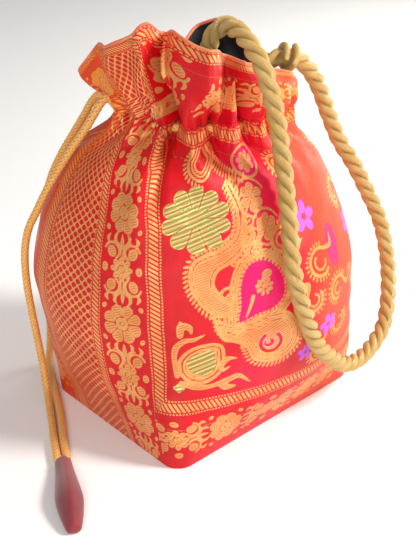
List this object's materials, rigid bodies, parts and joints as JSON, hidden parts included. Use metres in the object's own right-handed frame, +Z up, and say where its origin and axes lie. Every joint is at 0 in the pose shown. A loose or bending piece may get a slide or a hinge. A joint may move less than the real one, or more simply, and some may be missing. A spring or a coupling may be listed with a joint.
{
  "type": "potli bag",
  "caption": "Gathered brocade pouch with a flat oblong base, ruffled neck, black lining, braided drawstring with a fabric drop, and a twisted rope handle.",
  "frame": {"origin": "middle of the underside of the flat base, on the surface the bag stands on", "axes": "+Z up; the front face of the base looks along -Y and its left face along -X, so the front corner, over which the rope handle leaves the mouth, points to -X-Y"},
  "size_m": [0.2397, 0.1734, 0.2215],
  "materials": {
    "brocade": "woven red ground with gold-copper motifs, slight sheen",
    "lining_satin": "black satin",
    "card": "matte stiffener",
    "braid": "satin braided yarn",
    "maroon_cloth": "matte velvety cloth",
    "rope_gold": "lustrous twisted yarn"
  },
  "bodies": {
    "root": {"outer_wall": "brocade", "lining": "lining_satin", "base_panel": "brocade", "base_board": "card", "drawstring": "braid", "cord_drop": "maroon_cloth", "rope_handle": "rope_gold"}
  },
  "joints": []
}
